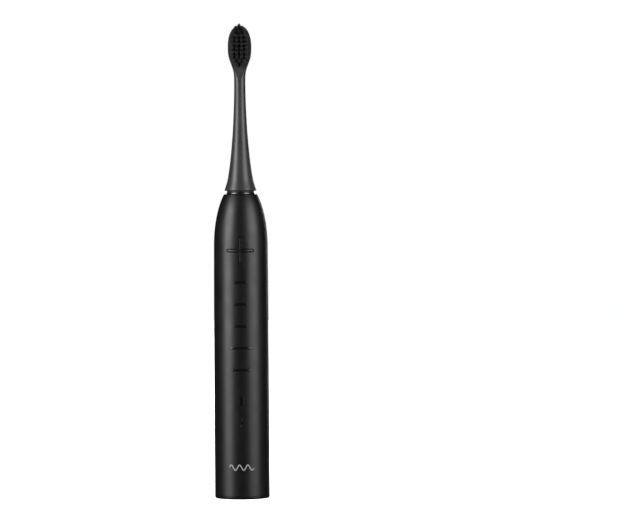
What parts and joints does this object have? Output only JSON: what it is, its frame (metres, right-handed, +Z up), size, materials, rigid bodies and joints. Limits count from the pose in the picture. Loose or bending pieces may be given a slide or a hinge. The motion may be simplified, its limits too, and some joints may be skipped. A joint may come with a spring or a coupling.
{
  "type": "sonic toothbrush",
  "caption": "Slim round sonic toothbrush handle standing on its flat base, with a plus-shaped button, mode lights and a plug-on brush head.",
  "frame": {"origin": "centre of the flat base, on the axis of the handle and brush head", "axes": "+Z up along the handle, -Y front with the button and bristles, +X to the right seen from the front"},
  "size_m": [0.0288, 0.0288, 0.2475],
  "materials": {
    "shell_black": "satin black moulded shell",
    "ring_black": "satin black ring",
    "seal_rubber": "matt black silicone",
    "lens_grey": "smoked translucent grey",
    "mask_black": "matt black",
    "chassis_plastic": "natural moulded plastic",
    "screw_steel": "zinc plated",
    "board_green": "solder mask",
    "led_lens": "milky",
    "chip_black": "epoxy",
    "switch_metal": "stamped",
    "can_steel": "drawn can",
    "cap_alloy": "die cast",
    "bearing_bronze": "sintered bronze",
    "core_iron": "stacked iron sheets",
    "copper": "enamelled copper",
    "magnet": "nickel plated magnet",
    "ferrite": "ferrite",
    "cell_wrap": "blue sleeve over a steel can",
    "pad_foam": "foam",
    "lead_red": "insulation",
    "lead_black": "insulation",
    "shaft_steel": "ground stainless steel",
    "head_black": "semi-gloss black",
    "sleeve_plastic": "natural acetal",
    "bristle_black": "black nylon",
    "anchor_brass": "strip"
  },
  "bodies": {
    "handle": {"handle_shell": "shell_black", "neck_ring": "ring_black", "shaft_seal": "seal_rubber", "bottom_cap": "shell_black", "cap_o_ring": "seal_rubber", "mode_lenses": "lens_grey", "status_lenses": "lens_grey", "light_mask": "mask_black", "button_boot": "seal_rubber", "chassis": "chassis_plastic", "motor_retainer": "chassis_plastic", "retainer_screws": "screw_steel", "board": "board_green", "board_screws": "screw_steel", "mode_leds": "led_lens", "status_leds": "led_lens", "controller_chip": "chip_black", "board_passives": "chip_black", "switch_body": "switch_metal", "motor_can": "can_steel", "motor_front_cap": "cap_alloy", "motor_rear_cap": "cap_alloy", "front_bearing": "bearing_bronze", "rear_bearing": "bearing_bronze", "stator_core": "core_iron", "stator_coils": "copper", "return_magnets": "magnet", "motor_dampers": "seal_rubber", "battery_cell": "cell_wrap", "battery_tabs": "switch_metal", "battery_pad": "pad_foam", "battery_lead_positive": "lead_red", "battery_lead_negative": "lead_black", "motor_leads": "copper", "coil_leads": "copper", "coil_bobbin": "chassis_plastic", "charge_coil": "copper", "coil_ferrite": "ferrite"},
    "rotor": {"drive_shaft": "shaft_steel", "rotor_core": "core_iron", "rotor_magnets": "magnet", "rotor_return_magnet": "magnet", "retaining_clip": "switch_metal"},
    "brush_head": {"head_body": "head_black", "drive_sleeve": "sleeve_plastic", "grip_spring": "switch_metal", "outer_tufts": "bristle_black", "inner_tufts": "bristle_black", "tuft_anchors": "anchor_brass", "tongue_pad": "seal_rubber"},
    "button": {"button_cap": "shell_black"},
    "plunger": {"switch_plunger": "chassis_plastic"}
  },
  "joints": [
    {"name": "shaft_sweep", "type": "hinge", "parent": "handle", "child": "rotor", "pos_m": [0, 0, 0.16], "axis": [0, 0, 1], "range_deg": [-5, 5], "stiffness_Nm_per_rad": 0.1},
    {"name": "head_pull", "type": "slide", "parent": "rotor", "child": "brush_head", "axis": [0, 0, 1], "range_m": [0, 0.028]},
    {"name": "button_press", "type": "slide", "parent": "handle", "child": "button", "axis": [0, 1, 0], "range_m": [0, 0.0004], "stiffness_N_per_m": 1500},
    {"name": "switch_press", "type": "slide", "parent": "handle", "child": "plunger", "axis": [0, 1, 0], "range_m": [0, 0.0004]}
  ],
  "couplings": [
    {"joint": "switch_press", "follows": "button_press", "ratio": 1}
  ]
}
